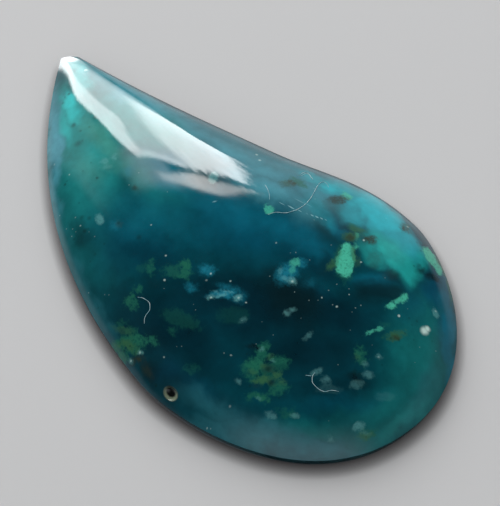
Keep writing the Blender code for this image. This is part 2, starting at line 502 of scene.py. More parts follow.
MOSS_PATCHES = [
    (10.19, -5.14, 1.17, 1.04, 57, 1), (10.06, -4.46, 0.86, 0.75, 74, 0.8),
    (9.85, -4.04, 0.68, 0.5, 68, 0.8), (11.08, -3.94, 1.06, 0.55, 59, 0.8),
    (11.52, -3.9, 0.62, 0.37, 78, 0.5), (11.12, -5.35, 1.11, 0.65, 56, 0.75),
    (10.7, -5.73, 0.62, 0.53, 41, 0.7), (12.18, -5.03, 1.17, 0.7, 61, 0.8),
    (11.95, -6.14, 0.94, 0.5, 38, 0.95), (11.49, -6.56, 0.5, 0.39, 42, 0.75),
    (11.22, -4.79, 1.49, 1.07, 47, 0.5), (10.13, -5.74, 0.6, 0.5, -34, 0.6),
    (2.16, -4.25, 0.88, 0.74, 18, 0.95), (2.55, -4.74, 1.05, 0.69, 41, 0.8),
    (1.86, -5.15, 1.22, 0.8, 29, 0.5), (0.64, -5.94, 0.84, 0.56, -31, 0.65),
    (0.25, -6.39, 0.69, 0.53, 27, 0.25), (1.33, -8.28, 0.7, 0.59, 84, 0.8),
    (1.64, -8.27, 0.62, 0.55, -22, 0.7), (1.2, -7.4, 0.55, 0.45, -13, 0.75),
    (3.28, -9.79, 2.13, 0.71, 36, 0.95), (2.8, -10.41, 1.1, 0.58, 16, 0.85),
    (3.32, -10.67, 0.83, 0.48, 4, 0.9), (3.75, -9.92, 1.2, 0.57, 43, 0.8),
    (2.89, -9.46, 1.04, 0.43, 20, 0.5), (4.35, -8.92, 0.64, 0.33, 21, 0.85),
    (1.85, -9.5, 0.67, 0.38, 26, 0.5), (4.87, -7.6, 0.55, 0.41, 14, 0.4),
    (7.6, -8.14, 0.78, 0.4, 41, 0.3), (13.84, 0.39, 0.77, 0.68, -65, 0.8),
    (14.29, 0.16, 0.66, 0.6, 88, 0.6), (17.69, -2.23, 0.83, 0.45, 68, 0.85),
    (13.66, -5.39, 1.11, 0.49, 40, 0.5), (1.8, 5.74, 1.2, 0.61, 15, 0.75),
    (7.12, 6.18, 1.44, 0.78, 40, 0.55), (8.6, 3.73, 2.85, 1.44, -42, 0.35),
    (13.46, 2.98, 0.46, 0.26, 60, 0.4), (8.59, 9.71, 0.56, 0.32, -70, 0.6),
    (14.29, 2.93, 1.33, 0.64, 60, 0.3), (6.89, -4.18, 1.9, 1.05, 46, 0.15),
    (4.68, -6.74, 2.69, 0.98, 25, 0.25),
]
OLIVE_PATCHES = [
    (8.62, 4.55, 1.36, 0.34, -36, 0.7), (8.3, 2.94, 0.85, 0.54, -88, 0.7),
    (8.16, 3.51, 1.22, 0.26, -49, 0.5), (9.09, 4.44, 0.76, 0.33, -45, 0.4),
    (11.68, 10.13, 2.0, 0.5, -26, 0.85), (13.42, 9.2, 2.16, 0.28, -39, 0.6),
    (11.16, -5.39, 1.05, 0.47, 57, 0.8), (11.6, -4.63, 0.86, 0.36, 68, 0.75),
    (10.38, -5.55, 0.37, 0.3, 44, 0.5), (10.53, -4.21, 0.62, 0.25, 68, 0.5),
    (10.57, -4.89, 0.55, 0.24, 67, 0.6), (12.16, -4.61, 0.61, 0.24, 68, 0.6),
    (3.2, -10.1, 1.12, 0.46, 29, 0.8), (2.32, -9.72, 1.53, 0.42, 19, 0.4),
    (4.0, -9.95, 0.57, 0.3, 51, 0.5), (7.39, 5.38, 1.06, 0.66, 50, 0.75),
    (7.18, 6.12, 0.93, 0.43, 47, 0.5), (14.31, 2.96, 1.0, 0.51, 60, 0.8),
    (14.4, 3.45, 0.54, 0.32, 64, 0.6), (17.59, -2.55, 0.7, 0.25, 69, 0.6),
    (1.55, 4.96, 0.81, 0.59, 44, 0.5), (13.88, 0.02, 0.38, 0.31, -53, 0.4),
]
BROWN_PATCHES = [
    (4.56, 6.92, 1.59, 0.81, 78, 0.85), (4.76, 6.17, 1.33, 0.75, 37, 0.25),
    (8.32, 6.38, 0.94, 0.67, 54, 0.95), (7.44, 5.33, 0.68, 0.4, 61, 0.85),
    (1.66, 5.32, 0.67, 0.51, 46, 0.85), (1.59, 4.84, 0.8, 0.58, 44, 0.4),
    (8.71, 9.42, 0.75, 0.64, -57, 0.9), (4.37, -10.13, 0.7, 0.27, 38, 1),
    (4.28, -10.38, 0.4, 0.22, 42, 0.6), (14.37, 2.94, 0.6, 0.32, 61, 0.8),
    (9.57, 5.43, 1.26, 0.91, -55, 0.3), (11.05, 5.68, 1.12, 0.72, 68, 0.2),
    (10.96, -4.73, 0.75, 0.42, 39, 0.4), (11.71, -5.13, 0.56, 0.29, 39, 0.4),
    (11.18, -5.89, 0.37, 0.23, 46, 0.3), (5.41, -10.17, 0.98, 0.47, -11, 0.5),
    (-4.77, -3.14, 0.44, 0.37, 13, 0.5), (-3.47, -5.48, 0.44, 0.34, 18, 0.4),
]
CLEAR_BLUE_PATCHES = [
    (7.0, 0.22, 1.49, 1.22, -84, 0.8), (7.02, 0.46, 1.44, 0.83, -49, 0.6),
    (7.0, 1.42, 0.58, 0.51, 61, 0.7), (6.57, 0.59, 0.52, 0.44, 55, 0.5),
    (5.46, -3.66, 1.59, 0.54, 52, 0.95), (5.75, -3.15, 0.58, 0.48, 42, 0.8),
    (3.42, -3.44, 0.81, 0.63, 41, 0.85), (5.14, -3.31, 0.66, 0.27, 26, 0.5),
    (3.62, -4.97, 0.56, 0.47, 32, 0.75), (-3.57, -5.75, 0.64, 0.51, -3, 0.5),
    (-6.11, -2.69, 0.86, 0.62, 31, 0.4), (6.27, -3.09, 0.89, 0.68, 45, 0.4),
    (8.37, 0.9, 0.64, 0.56, 61, 0.25),
]
PALE_PATCHES = [
    (-4.79, -6.21, 0.78, 0.56, -15, 0.48), (17.03, -2.47, 0.63, 0.42, 71, 0.45),
    (13.1, -6.21, 0.56, 0.37, 45, 0.36), (10.28, -6.52, 0.38, 0.34, 30, 0.36),
    (14.56, 6.6, 0.59, 0.4, -37, 0.45), (13.02, -2.48, 0.88, 0.36, 68, 0.3),
    (13.77, -2.41, 0.56, 0.42, 54, 0.27), (15.2, -0.09, 0.64, 0.48, 61, 0.3),
    (15.19, -1.05, 0.82, 0.47, 55, 0.21), (9.05, -1.57, 0.44, 0.4, 53, 0.39),
    (9.15, -1.13, 0.45, 0.3, 73, 0.33), (14.72, 1.19, 0.33, 0.25, 64, 0.36),
    (14.56, 0.22, 0.45, 0.31, 59, 0.24), (16.42, -4.2, 0.38, 0.2, 52, 0.24),
    (-8.11, -3.28, 0.54, 0.52, 43, 0.33), (-7.82, -2.62, 0.49, 0.37, 40, 0.42),
    (-7.61, -3.42, 0.52, 0.31, 31, 0.27), (14.08, -5.11, 0.56, 0.27, 41, 0.36),
    (11.03, -1.52, 0.58, 0.31, -79, 0.27), (7.63, 0.14, 0.51, 0.42, 54, 0.54),
    (7.19, -0.11, 0.46, 0.28, 15, 0.3), (6.56, 0.01, 0.65, 0.26, -49, 0.24),
    (5.04, -4.47, 0.39, 0.27, 43, 0.54), (6.23, -3.18, 0.51, 0.44, 41, 0.54),
    (5.49, -3.44, 0.65, 0.17, 37, 0.48), (5.39, -3.94, 0.76, 0.2, 60, 0.45),
    (5.01, -3.95, 0.53, 0.13, 26, 0.3), (-1.73, 1.3, 1.02, 0.61, -44, 0.54),
    (7.54, -3.99, 0.38, 0.26, 46, 0.21), (17.55, -2.35, 0.39, 0.2, 56, 0.24),
    (4.25, -9.8, 0.33, 0.21, 24, 0.48), (4.05, -10.46, 0.3, 0.17, 24, 0.48),
    (16.79, 0.02, 1.31, 0.5, 58, 0.09), (14.3, -2.6, 1.5, 0.52, 52, 0.09),
    (9.82, -4.26, 0.31, 0.19, 48, 0.3), (10.88, -4.18, 0.31, 0.18, 48, 0.3),
    (11.91, -6.34, 0.31, 0.22, 44, 0.3),
]
# Small pale specks: x, y, diameter and strength.
WHITE_SPECKS = [
    (15.1, 4.96, 0.46, 0.8), (15.1, 5.24, 0.33, 0.8), (7.63, 0.14, 0.14, 0.38),
    (6.23, -3.18, 0.12, 0.34), (5.04, -4.47, 0.11, 0.42), (6.81, -3.05, 0.1, 0.38),
    (2.0, -5.87, 0.13, 0.46), (4.25, -9.8, 0.12, 0.34), (4.05, -10.46, 0.1, 0.38),
    (5.74, -8.96, 0.11, 0.3), (13.47, 4.13, 0.14, 0.6), (10.68, 1.23, 0.13, 0.46),
    (10.44, 1.08, 0.07, 0.2), (9.63, 0.87, 0.11, 0.38), (-15.96, 0.76, 0.23, 0.55),
    (10.68, -9.51, 0.08, 0.34), (10.89, -9.39, 0.07, 0.26), (-1.94, 5.23, 0.16, 0.42),
    (-1.32, 4.97, 0.16, 0.42), (0.72, -4.76, 0.11, 0.38), (3.76, -3.45, 0.12, 0.46),
    (-1.73, -4.08, 0.09, 0.38), (8.08, 6.0, 0.12, 0.51), (9.25, 4.64, 0.12, 0.34),
    (8.76, -5.9, 0.12, 0.26), (8.35, -6.15, 0.08, 0.2), (14.72, 1.19, 0.11, 0.14),
    (-9.45, -5.42, 0.1, 0.42), (-5.6, -7.28, 0.1, 0.3), (-11.32, -5.52, 0.14, 0.2),
    (4.82, 1.18, 0.12, 0.26), (8.58, 9.8, 0.16, 0.34), (10.95, -7.83, 0.13, 0.17),
    (14.44, 6.66, 0.12, 0.26), (10.54, 2.43, 0.08, 0.34), (5.01, -2.84, 0.11, 0.34),
    (3.91, -3.93, 0.13, 0.17), (-7.75, -7.65, 0.08, 0.23), (13.56, -1.21, 0.06, 0.23),
    (2.84, 6.27, 0.07, 0.17), (3.64, 5.64, 0.07, 0.17), (7.44, 8.74, 0.07, 0.17),
]
# The faintest ones are alike: the places that go with each diameter and strength.
FAINT_SPECKS = {
    (0.07, 0.23): [
        (-6.46, -7.97), (-5.99, -7.72), (-5.64, -8.07), (-6.42, -7.12), (-4.08, -7.14), (-2.94, -1.77),
        (-5.53, -2.2), (-5.24, -3.26), (6.18, 1.7), (7.15, 2.03), (7.12, 3.92), (9.51, 2.27),
        (9.53, 1.56), (10.24, 2.69), (8.27, -0.23), (9.29, 0.1), (11.54, 2.52), (6.41, -0.75),
        (11.47, 2.12), (16.43, 4.8), (-1.64, -9.67),
    ],
    (0.06, 0.17): [
        (-5.58, -7.73), (-4.69, -7.19), (-0.47, -9.1), (-0.19, -8.92), (4.97, 4.35), (10.99, 5.19),
        (5.98, 1.41), (15.73, 3.93), (13.45, 4.98), (2.42, -6.26), (11.54, 1.76), (9.62, 0.57),
    ],
    (0.05, 0.17): [
        (4.63, -5.57), (4.98, -5.69), (7.54, -3.99), (5.92, -8.0), (6.13, -7.79), (8.83, -5.86),
        (15.64, -3.75), (16.28, 2.99), (12.79, -3.19), (-0.17, -10.38), (1.13, -10.57), (9.85, -1.07),
        (8.46, -3.11), (9.56, -3.13), (9.29, -4.3), (13.91, 1.35), (12.36, 0.86),
    ],
}
WHITE_SPECKS += [(x, y, *kind) for kind, places in FAINT_SPECKS.items() for x, y in places]
# Small dark specks.
DARK_SPECKS = [
    (-12.49, -2.81, 0.33, 0.5), (-11.59, -2.84, 0.2, 0.37), (-15.0, -2.07, 0.22, 0.31),
    (-15.19, -1.35, 0.22, 0.53), (-15.3, -1.67, 0.16, 0.31), (-10.9, -3.59, 0.45, 0.37),
    (-10.8, -3.28, 0.2, 0.25), (-11.63, -1.53, 0.32, 0.34), (-12.11, -1.5, 0.15, 0.25),
    (-7.42, -4.4, 0.17, 0.59), (-9.15, -6.07, 0.19, 0.56), (-9.22, -5.83, 0.14, 0.31),
    (-4.76, -3.14, 0.29, 0.37), (-3.49, -5.48, 0.18, 0.37), (-1.61, -5.22, 0.33, 0.4),
    (-5.99, -6.86, 0.29, 0.37), (-5.0, -7.32, 0.29, 0.53), (-4.92, -7.11, 0.18, 0.37),
    (-5.48, -6.59, 0.29, 0.37), (-11.31, -2.26, 0.15, 0.31), (-8.74, -4.7, 0.14, 0.25),
    (-8.78, -3.94, 0.14, 0.25), (-7.02, -6.34, 0.14, 0.31), (-3.11, -7.06, 0.13, 0.31),
    (-3.11, -7.87, 0.17, 0.31), (-3.02, -8.4, 0.13, 0.25), (6.48, -10.29, 0.17, 0.59),
    (-0.3, -9.86, 0.12, 0.25), (10.82, -5.51, 0.15, 0.5), (10.96, -4.73, 0.29, 0.56),
    (11.71, -5.13, 0.29, 0.56), (10.97, -6.2, 0.15, 0.43), (9.38, -5.12, 0.12, 0.43),
    (9.87, -5.04, 0.1, 0.31), (11.38, -4.43, 0.15, 0.43), (12.69, -4.89, 0.11, 0.31),
    (12.69, -5.3, 0.11, 0.31), (12.46, -5.75, 0.09, 0.25), (10.63, -5.19, 0.09, 0.37),
    (3.39, -9.98, 0.12, 0.5), (3.21, -10.39, 0.11, 0.43), (3.31, -9.64, 0.1, 0.37),
    (3.92, -9.61, 0.12, 0.37), (2.64, -10.27, 0.09, 0.31), (3.56, -10.41, 0.09, 0.31),
    (13.94, 4.61, 0.13, 0.31), (14.36, 4.93, 0.14, 0.37), (14.39, 4.46, 0.13, 0.25),
    (14.66, 3.03, 0.16, 0.43), (14.28, 2.67, 0.16, 0.43), (14.54, 3.68, 0.12, 0.31),
    (9.91, 9.34, 0.16, 0.31), (10.57, 9.09, 0.16, 0.31), (8.97, 3.48, 0.11, 0.34),
    (8.95, 3.85, 0.09, 0.25), (7.19, 0.22, 0.17, 0.37), (6.71, 0.31, 0.13, 0.25),
    (7.48, 0.57, 0.17, 0.31), (2.88, -5.29, 0.12, 0.31), (11.43, 7.99, 0.31, 0.5),
    (11.32, 7.61, 0.14, 0.37), (11.72, 8.21, 0.15, 0.31), (15.19, 3.9, 0.12, 0.25),
    (15.22, 1.04, 0.12, 0.25), (11.3, -2.15, 0.12, 0.25), (11.8, -1.84, 0.12, 0.25),
    (1.87, -7.76, 0.12, 0.19), (2.47, -3.63, 0.17, 0.19), (2.78, -2.46, 0.13, 0.25),
    (17.7, -2.39, 0.1, 0.37), (-5.34, -8.1, 0.18, 0.31), (-8.54, -6.92, 0.14, 0.25),
    (12.7, -1.21, 0.12, 0.25), (14.53, -0.64, 0.3, 0.43), (14.81, -0.47, 0.25, 0.37),
    (15.84, 4.98, 0.13, 0.25),
]
# Lint fibres on the polish: the points of each one.
FIBRES = [
    [
        (2.82, 2.18), (2.90, 2.50), (3.07, 2.80), (3.32, 3.06), (3.51, 3.37), (3.65, 3.92),
        (3.68, 4.34), (3.64, 4.74), (3.46, 5.36), (3.11, 6.06), (2.75, 6.72), (2.62, 7.04),
        (2.61, 7.32), (2.75, 7.43), (2.92, 7.42), (3.28, 7.24),
    ],
    [(1.26, 6.18), (1.39, 6.45), (1.33, 6.84), (1.51, 7.02), (1.80, 6.94), (2.12, 6.84)],
    [(1.29, 6.35), (1.20, 6.66), (1.18, 6.91), (1.27, 7.06), (1.42, 7.09)],
    [(0.75, 3.65), (1.02, 3.60), (1.36, 3.47), (1.67, 3.29), (1.93, 3.07)],
    [
        (1.57, -7.81), (1.82, -7.63), (2.18, -7.52), (2.44, -7.51), (2.60, -7.59), (2.82, -7.80),
        (2.87, -8.13), (2.99, -8.36), (3.20, -8.55),
    ],
    [
        (13.01, -2.64), (13.04, -2.82), (13.14, -2.98), (13.28, -3.10), (13.43, -3.16), (13.82, -3.12),
        (14.07, -3.03), (14.27, -2.88), (14.41, -2.59), (14.58, -2.39), (14.79, -2.22),
    ],
    [(12.78, -3.18), (13.01, -2.97)],
]
# Fine scratches in the polish: the two ends of each one.
SCRATCHES = [
    [(2.78, 4.51), (4.05, 4.95)],
    [(2.37, 3.37), (4.19, 4.24)],
    [(4.19, 4.24), (5.66, 5.14)],
    [(-0.36, -0.13), (-0.06, 0.36)],
]

CHALCEDONY_IOR = 1.54
POLISH_RELIEF = 3e-6  # metres
BODY_COLOUR = tone(4, 57, 67)
# Painted shade for the girdle's wall.
GIRDLE_SHADE_COLOUR = tone(18, 22, 24)
PIT_RIM_COLOUR = tone(140, 148, 120)
# Painted shade for the pit's bowl.
PIT_BOWL_SHADE_COLOUR = tone(8, 12, 13)
DARK_SPECK_COLOUR = tone(10, 36, 34)
WHITE_SPECK_COLOUR = tone(196, 222, 214)

# Over how many millimetres the girdle's painted shade sets in, and how much smaller the inclusions
# and the scratches are at the back, in millimetres.
GIRDLE_SHADE_EDGE = 0.12
SHRINKING = 0.5
SCRATCH_END = 9.0

# The zones in the order in which they are laid on: marks, softness and colour.
ZONES = [
    # The stone's green, with painted glow along the round end's edge.
    (GREEN_AND_EDGE_GLOW_ZONES, 0.8, tone(16, 96, 97)),
    (BLUE_ZONES, 0.8, tone(3, 64, 83)),
    (DEEP_ZONES, 0.8, tone(3, 30, 40)),
    (SEA_ZONES, 0.75, tone(30, 126, 124)),
    (SAGE_ZONES, 0.7, tone(62, 134, 124)),
    (AQUA_ZONES, 0.6, tone(44, 172, 172)),
    # Painted reflection of the room's haze on the flanks.
    (FLANK_REFLECTION_ZONES, 0.8, tone(68, 138, 152)),
    # Mostly painted reflection of the room along the edges, partly the stone's milky rim.
    (MILKY_RIM_AND_REFLECTION_ZONES, 0.8, tone(36, 98, 108)),
    (LAKE_ZONES, 0.8, tone(10, 92, 112)),
    (TURQUOISE_ZONES, 0.6, tone(34, 156, 168)),
    (JADE_ZONES, 0.6, tone(28, 146, 142)),
    (DARK_ZONES, 0.7, tone(6, 26, 31)),
]

# The inclusions, likewise: name, marks, and then how soft their edges are, how far they wander, both in
# millimetres, and their colour.
PATCHES = [
    ("moss", MOSS_PATCHES, (0.22, 1.4, tone(28, 92, 74))),
    ("clear_blue", CLEAR_BLUE_PATCHES, (0.34, 0.9, tone(24, 112, 132))),
    ("mint", MINT_PATCHES, (0.12, 0.7, tone(66, 168, 142))),
    ("olive", OLIVE_PATCHES, (0.2, 1.0, tone(48, 92, 62))),
    ("brown", BROWN_PATCHES, (0.25, 0.9, tone(40, 50, 40))),
    ("pale", PALE_PATCHES, (0.14, 0.6, tone(96, 158, 158))),
    ("scratch", [line_mark(ends) for ends in SCRATCHES], (0.05, 0.0, tone(150, 196, 202))),
]


def warped(points, scale, amount):
    """Points pushed about by two octaves of noise, so that what is drawn there gets uneven edges."""
    coarse = np.array([noise.noise_vector(Vector(point) * scale) for point in points])
    fine = np.array([noise.noise_vector(Vector(point) * scale * 2.3) for point in points])
    return points + amount * (coarse + fine / 2)


def zone_mask(points, marks, soft):
    """Soft oval zones as one mask from 0 to 1."""
    mask = np.zeros(len(points))
    for mark in marks:
        inside = np.clip((1 + soft - reach_of(points, mark)) / (2 * soft), 0.0, 1.0)
        mask = np.maximum(mask, inside**2 * (3 - 2 * inside) * mark[5])
    return mask


def patch_field(points, marks):
    """Each point's depth in millimetres inside the nearest mark's edge, and that mark's strength."""
    sizes = [math.sqrt(mark[2] * mark[3]) / 2 for mark in marks]
    depths = np.array([(1 - reach_of(points, mark)) * size for mark, size in zip(marks, sizes)])
    weights = np.exp(np.clip(12 * (depths - depths.max(axis=0)), -60, 0))
    strength = np.array([mark[5] for mark in marks]) @ weights / weights.sum(axis=0)
    return depths.max(axis=0), strength


def paint(mesh):
    """Lays the marks out on the stone's mesh, as attributes that its material reads."""
    def laid_on(colour, mask):
        mask = mask[:, None]
        return body * (1 - mask) + np.array(colour[:3]) * mask

    noise.seed_set(CLOUD_SEED)
    points = np.array([vert.co for vert in mesh.vertices]) / MM
    cloudy = warped(warped(warped(points, 0.16, 0.7), 0.7, 0.35), 2.2, 0.16)
    ragged = warped(points, 0.8, 0.16)
    body = np.tile(BODY_COLOUR[:3], (len(points), 1))
    # Some zones are painted reflection and painted glow laid into the body colour.
    for marks, soft, colour in ZONES:
        body = laid_on(colour, zone_mask(cloudy, marks, soft))

    # The girdle, darkened as painted shade, and the pit with its pale rim and its dark bowl of painted
    # shade.
    girdle = np.clip((GIRDLE_HEIGHT - points[:, 2]) / GIRDLE_SHADE_EDGE, 0.0, 1.0)[:, None]
    body = body * (1 - girdle) + (0.3 * body + np.array(GIRDLE_SHADE_COLOUR[:3])) * girdle
    body = laid_on(PIT_RIM_COLOUR, 0.6 * np.clip((1.15 - reach_of(points, PIT)) / 0.25, 0.0, 1.0))
    # The pit's dark bowl is painted shade, set off towards one side.
    body = laid_on(PIT_BOWL_SHADE_COLOUR, np.clip((0.85 - reach_of(points + PIT_SHADE, PIT)) / 0.3, 0.0, 1.0))
    # The body colour holds painted shade on the girdle and in the pit, and painted reflection and glow in
    # some zones.
    store(mesh, "body", body)

    # The inclusions run down through the stone and shrink a little on the way. The scratches don't.
    lower = np.clip(1 - points[:, 2] / GIRDLE_HEIGHT, 0.0, 1.0)
    for name, marks, _ in PATCHES:
        scratch = name == "scratch"
        depth, strength = patch_field(points if scratch else ragged, marks)
        depth = depth - (SCRATCH_END if scratch else SHRINKING) * lower
        store(mesh, name, np.column_stack([depth, strength, np.zeros(len(points))]))


def store(mesh, name, values):
    """Keeps three numbers for each vertex under that name."""
    layer = mesh.attributes.new(name, "FLOAT_VECTOR", "POINT")
    layer.data.foreach_set("vector", values.astype(np.float32).ravel())


def stone_material():
    """Polished chalcedony coloured by chrysocolla: layers of colour, from the body up to the specks."""
    material, graph, shader = new_material("polished_chrysocolla")
    place = graph.place()
    crisp = graph.warp(place, 3.5, 0.12, detail=3.0)
    clouds = graph.noise(place, 0.5, detail=6.0, roughness=0.62)
    edges = graph.noise(place, 3.0, detail=5.0, roughness=0.7)
    grain = graph.noise(place, 5.5, detail=4.0, roughness=0.65)
    patchy = graph.span(grain, 0.32, 0.54, 0.6, 1.0)

    body = graph.nodes.new("ShaderNodeAttribute")
    body.attribute_name = "body"
    shade = graph.span(clouds, 0.25, 0.75, 0.72, 1.32, smooth=False)
    shown = graph.vector("SCALE", body.outputs["Vector"], scale=shade)
    push = graph.math("SUBTRACT", edges, 0.5)
    for name, _, (soft, wander, colour) in PATCHES:
        depth, strength = graph.attribute(name)
        edge = graph.plus(depth, graph.times(push, wander))
        mask = graph.times(graph.span(edge, -soft, soft), strength, patchy)
        shown = graph.mix(mask, shown, colour)

    # The specks lie in the dome alone, so that they don't run down the girdle as lines.
    heights = graph.nodes.new("ShaderNodeSeparateXYZ")
    graph.feed(heights.inputs[0], place)
    dome = graph.span(heights.outputs[2], GIRDLE_HEIGHT - 0.15, GIRDLE_HEIGHT)
    back = graph.math("SUBTRACT", 1.0, graph.span(heights.outputs[2], 0.0, 0.15))
    shown = graph.mix(graph.times(graph.dots(crisp, DARK_SPECKS, 0.8), dome), shown, DARK_SPECK_COLOUR)
    shown = graph.mix(graph.times(graph.dots(crisp, WHITE_SPECKS, 0.7), dome), shown, WHITE_SPECK_COLOUR)
    graph.feed(shader.inputs["Base Color"], shown)

    # The polish is a little duller in places and has faint hairlines. The back is left as it was ground.
    smears = graph.noise(place, 0.9, detail=5.0, roughness=0.65)
    lines = graph.noise(graph.vector("MULTIPLY", place, (0.7, 16.0, 4.0)), 1.0, detail=3.0, roughness=0.6)
    rough = graph.span(smears, 0.3, 0.75, 0.03, 0.06)
    rough = graph.plus(rough, graph.span(grain, 0.55, 0.75, 0.0, 0.03))
    rough = graph.plus(rough, graph.times(back, graph.span(lines, 0.3, 0.7, 0.26, 0.4)))
    graph.feed(shader.inputs["Roughness"], rough)
    bump = graph.nodes.new("ShaderNodeBump")
    bump.inputs["Strength"].default_value = 0.5
    bump.inputs["Distance"].default_value = POLISH_RELIEF
    scored = graph.plus(0.06, graph.times(back, 2.0))
    relief = graph.plus(graph.times(lines, scored), graph.times(grain, 0.3))
    graph.feed(bump.inputs["Height"], relief)
    graph.feed(shader.inputs["Normal"], bump.outputs["Normal"])
    shader.inputs["IOR"].default_value = CHALCEDONY_IOR
    return material


def lint_material():
    """Pale textile lint."""
    material, graph, shader = new_material("lint")
    place = graph.place()
    patches = graph.span(graph.noise(place, 3.0, detail=3.0), 0.35, 0.65)
    graph.feed(shader.inputs["Base Color"], graph.mix(patches, tone(104, 150, 160), tone(168, 192, 196)))
    shader.inputs["Roughness"].default_value = 0.55
    return material


def fibre_path(points):
    """A smooth run of points on the polish through the given plan points."""
    ends = [2 * np.array(points[0]) - points[1], 2 * np.array(points[-1]) - points[-2]]
    knots = np.vstack([ends[0], points, ends[1]])
    steps = max(2, round(FIBRE_STEPS / len(points)))
    run = []
    for a, b, c, d in zip(knots, knots[1:], knots[2:], knots[3:]):
        for t in np.linspace(0.0, 1.0, steps, endpoint=False):
            run.append((2 * b + (c - a) * t + (2 * a - 5 * b + 4 * c - d) * t**2
                        + (3 * b - a - 3 * c + d) * t**3) / 2)
    run.append(knots[-2])
    return np.array([(x, y, dome_height(x, y) + FIBRE_RADIUS * FIBRE_LIFT) for x, y in run])


def build_fibres():
    """The lint fibres as one mesh of thin round tubes that taper at their ends."""
    bm = bmesh.new()
    for points in FIBRES:
        path = fibre_path(points)
        rings = []
        for i, centre in enumerate(path):
            along = path[min(i + 1, len(path) - 1)] - path[max(i - 1, 0)]
            along = along / np.linalg.norm(along)
            side = np.cross((0.0, 0.0, 1.0), along)
            side /= np.linalg.norm(side)
            lift = np.cross(along, side)
            fullness = math.sin(math.pi * (i + 0.5) / len(path)) ** 0.5
            taper = FIBRE_END + (1 - FIBRE_END) * fullness
            ring = []
            for k in range(FIBRE_SIDES):
                angle = 2 * math.pi * k / FIBRE_SIDES
                offset = (side * math.cos(angle) + lift * math.sin(angle)) * FIBRE_RADIUS * taper
                ring.append(bm.verts.new(Vector(centre + offset) * MM))
            rings.append(ring)
        for low, high in zip(rings, rings[1:]):
            for k in range(FIBRE_SIDES):
                j = (k + 1) % FIBRE_SIDES
                bm.faces.new((low[k], low[j], high[j], high[k]))
        bm.faces.new(rings[0])
        bm.faces.new(rings[-1])
    bmesh.ops.recalc_face_normals(bm, faces=bm.faces)
    return mesh_object("lint_fibres", bm)


# ----------------------------------------------------------------------------- stage, light, camera

VIEW_TURN = 50.0
VIEW_RISE = 62.0
VIEW_DISTANCE = 0.08315
VIEW_TARGET = (0.0022, 0.001155, 0.0)
LENS = 85.0

SOFTBOX_DISTANCE = 0.5

# The window that the polish mirrors is drawn on an upright plane. Places on it are multiples of its
# distance, across it to the right and up it from the height of the stone.
WINDOW_TURN = -15.0
WINDOW_DISTANCE = 4.0
WINDOW_ACROSS = (-0.75, 0.6)
WINDOW_UP = (-0.5, 1.4)

# Upright lines of the window: how far up, and how far across the line lies there.
LEFT_SIDE = [
    (-0.5, -0.6), (-0.1, -0.64), (0.15, -0.665), (0.33, -0.68), (0.5, -0.645), (0.6, -0.605),
    (0.7, -0.555), (0.8, -0.5), (0.9, -0.445), (1.0, -0.39), (1.08, -0.335), (1.15, -0.28),
]
LEFT_CURTAIN = [
    (-0.5, 0.1), (-0.11, 0.0), (0.03, -0.4), (0.15, -0.54), (0.3, -0.57), (0.4, -0.54), (0.5, -0.485),
    (0.6, -0.43), (0.7, -0.36), (0.78, -0.28), (0.85, -0.2), (0.9, -0.19), (0.97, -0.22),
    (1.03, -0.22), (1.15, -0.17),
]
RIGHT_CURTAIN = [
    (-0.1, 0.6), (0.2, 0.5), (0.28, 0.38), (0.37, 0.29), (0.45, 0.25), (0.55, 0.2), (0.65, 0.175),
    (0.75, 0.13), (0.9, 0.12), (0.98, 0.15), (1.15, 0.25),
]
RIGHT_SIDE = [
    (-0.5, 0.05), (-0.35, 0.12), (-0.23, 0.18), (-0.12, 0.3), (0.03, 0.385), (0.15, 0.42),
    (0.26, 0.445), (0.32, 0.465), (0.38, 0.505), (0.5, 0.505), (0.7, 0.487), (0.85, 0.468),
    (1.15, 0.45),
]

# Level lines of the window: how far across, and how far up the line lies there.
HEAD = [
    (-0.7, 1.16), (-0.05, 1.145), (0.03, 1.135), (0.11, 1.12), (0.2, 1.08), (0.28, 1.015),
    (0.35, 0.95), (0.42, 0.89), (0.47, 0.865), (0.6, 0.85),
]
FANLIGHT_FOOT = [
    (-0.35, 1.24), (-0.17, 1.25), (-0.1, 1.26), (0.03, 1.215), (0.16, 1.14), (0.25, 1.09),
    (0.32, 1.06), (0.38, 1.01), (0.45, 0.95), (0.5, 0.91),
]
FANLIGHT_HEAD = [
    (-0.35, 1.33), (-0.04, 1.33), (0.05, 1.32), (0.15, 1.295), (0.23, 1.265), (0.33, 1.17),
    (0.45, 0.98), (0.5, 0.9),
]

# How bright the fanlight is: how far across, and the share of its full radiance there.
FANLIGHT_GLOW = [
    (-0.5, 0.0), (-0.35, 0.06), (-0.2, 0.25), (-0.11, 0.62), (0.0, 0.7), (0.1, 0.88), (0.2, 0.78),
    (0.3, 0.62), (0.5, 0.5),
]

# Radiances of the window's parts.
PANE = 6.9
LEFT_CURTAIN_GLOW = 11.6
RIGHT_CURTAIN_GLOW = 12.0
RAIL_GLOW = 9.6
FANLIGHT = 10.0
HAZE = 2.0
DAYLIGHT = (0.97, 1.0, 1.0, 1.0)
WARM_LIGHT = (1.0, 0.93, 0.88, 1.0)


def away(turn, rise):
    """The unit vector at a rise above the horizon and a turn to the right of the camera's heading."""
    heading = math.radians(VIEW_TURN - turn)
    lift = math.radians(rise)
    flat = math.cos(lift)
    return Vector((-math.sin(heading) * flat, math.cos(heading) * flat, math.sin(lift)))


def add_camera():
    """The camera at the viewing angle above."""
    data = bpy.data.cameras.new("camera")
    data.lens = LENS
    data.clip_start = 0.002
    data.clip_end = 10.0
    camera = bpy.data.objects.new("camera", data)
    bpy.context.collection.objects.link(camera)
    target = Vector(VIEW_TARGET)
    camera.location = target + away(180.0, VIEW_RISE) * VIEW_DISTANCE
    camera.rotation_euler = (target - camera.location).to_track_quat("-Z", "Y").to_euler()
    bpy.context.scene.camera = camera


